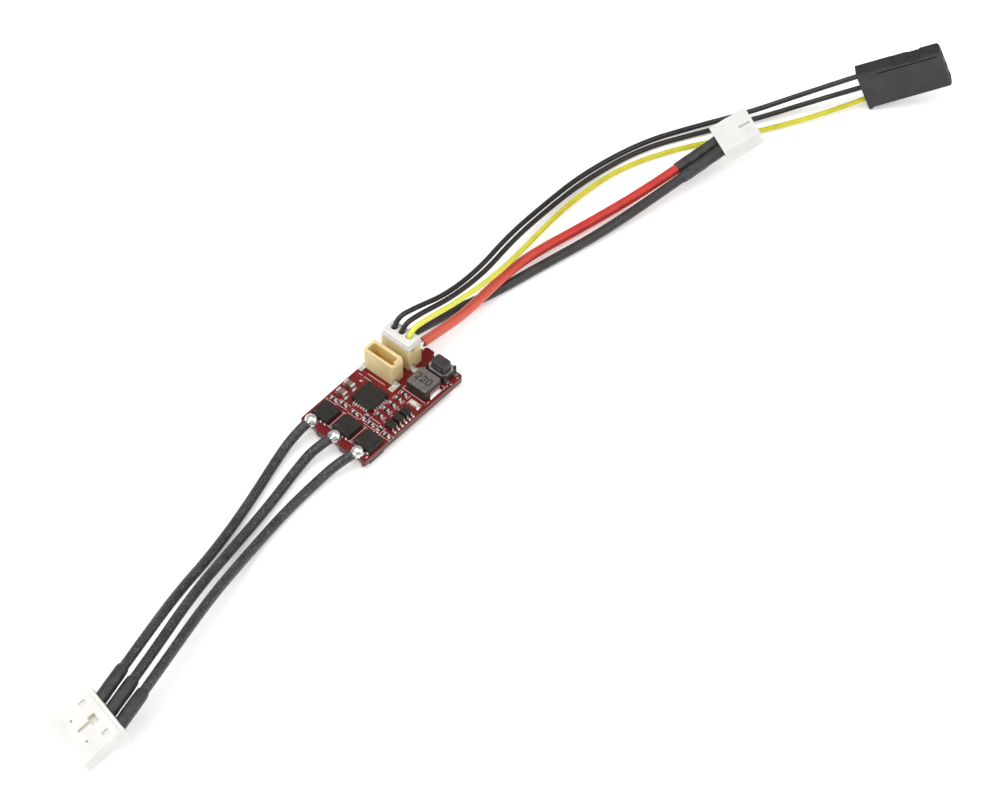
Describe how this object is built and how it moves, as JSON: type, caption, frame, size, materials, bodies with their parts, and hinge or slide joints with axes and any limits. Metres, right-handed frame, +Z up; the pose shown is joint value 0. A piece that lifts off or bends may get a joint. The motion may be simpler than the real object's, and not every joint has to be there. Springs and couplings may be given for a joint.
{
  "type": "electronic speed controller",
  "caption": "Small red circuit board with chips, upright receptacles and a push-button, and flexible motor, battery and receiver leads that end in plugs.",
  "frame": {"origin": "centre of the board and its parts, on the plane its underside parts stand on", "axes": "+X along the board toward the battery and receiver leads, +Y toward the edge behind the receptacles, +Z up out of the parts side"},
  "size_m": [0.1899, 0.0347, 0.012],
  "materials": {
    "solder_mask": "red solder mask over glass-fibre board, satin",
    "chip_epoxy": "moulded epoxy, matte",
    "solder": "tinned metal and solder, bright",
    "resistor_ceramic": "glazed ceramic, stands in as plastic",
    "capacitor_ceramic": "ceramic, stands in as plastic",
    "led_resin": "clear resin",
    "powder_core": "pressed iron powder, matte grey",
    "switch_plastic": "black plastic",
    "button_plastic": "black plastic",
    "stainless": "stamped sheet",
    "header_nylon": "natural beige nylon",
    "pin_metal": "tinned brass pins",
    "white_nylon": "white nylon",
    "contact_brass": "folded phosphor bronze",
    "black_plastic": "black plastic, satin",
    "black_silicone": "silicone insulation, matte",
    "red_silicone": "silicone insulation, matte",
    "black_pvc": "soft insulation",
    "brown_pvc": "soft insulation, very dark brown",
    "yellow_pvc": "soft insulation",
    "heat_shrink": "shrink tube, satin"
  },
  "bodies": {
    "board": {"pcb_board": "solder_mask", "mosfets_top": "chip_epoxy", "mosfets_under": "chip_epoxy", "microcontroller": "chip_epoxy", "gate_driver": "chip_epoxy", "driver_transistors": "chip_epoxy", "mosfet_tabs_top": "solder", "mosfet_tabs_under": "solder", "microcontroller_pads": "solder", "gate_driver_pads": "solder", "driver_transistor_leads": "solder", "chip_resistor_ends": "solder", "chip_capacitor_ends": "solder", "bulk_capacitor_ends": "solder", "status_led_ends": "solder", "inductor_terminals": "solder", "switch_tabs": "solder", "aux_header_tabs": "solder", "receiver_header_tabs": "solder", "solder_joints": "solder", "tinned_wire_ends": "solder", "chip_resistors": "resistor_ceramic", "chip_capacitors": "capacitor_ceramic", "bulk_capacitors": "capacitor_ceramic", "status_led": "led_resin", "inductor": "powder_core", "switch_base": "switch_plastic", "switch_cover": "stainless", "switch_dome": "stainless", "aux_header": "header_nylon", "receiver_header": "header_nylon", "aux_header_pins": "pin_metal", "receiver_header_pins": "pin_metal", "motor_plug": "white_nylon", "battery_plug": "white_nylon", "motor_plug_contacts": "contact_brass", "battery_plug_contacts": "contact_brass", "motor_wire_a": "black_silicone", "motor_wire_b": "black_silicone", "motor_wire_c": "black_silicone", "battery_wire_black": "black_silicone", "battery_wire_red": "red_silicone", "motor_sleeves": "heat_shrink", "battery_sleeves": "heat_shrink"},
    "button": {"switch_button": "button_plastic"},
    "receiver_lead": {"receiver_plug": "white_nylon", "receiver_plug_contacts": "contact_brass", "signal_wire_black": "black_pvc", "signal_wire_brown": "brown_pvc", "signal_wire_yellow": "yellow_pvc", "receiver_connector": "black_plastic", "receiver_connector_contacts": "contact_brass"}
  },
  "joints": [
    {"name": "button_press", "type": "slide", "parent": "board", "child": "button", "axis": [0, 0, -1], "range_m": [0, 0.00025], "stiffness_N_per_m": 6400, "deforming": ["switch_dome"]},
    {"name": "receiver_unplug", "type": "slide", "parent": "board", "child": "receiver_lead", "axis": [0, 0, 1], "range_m": [0, 0.003]}
  ]
}
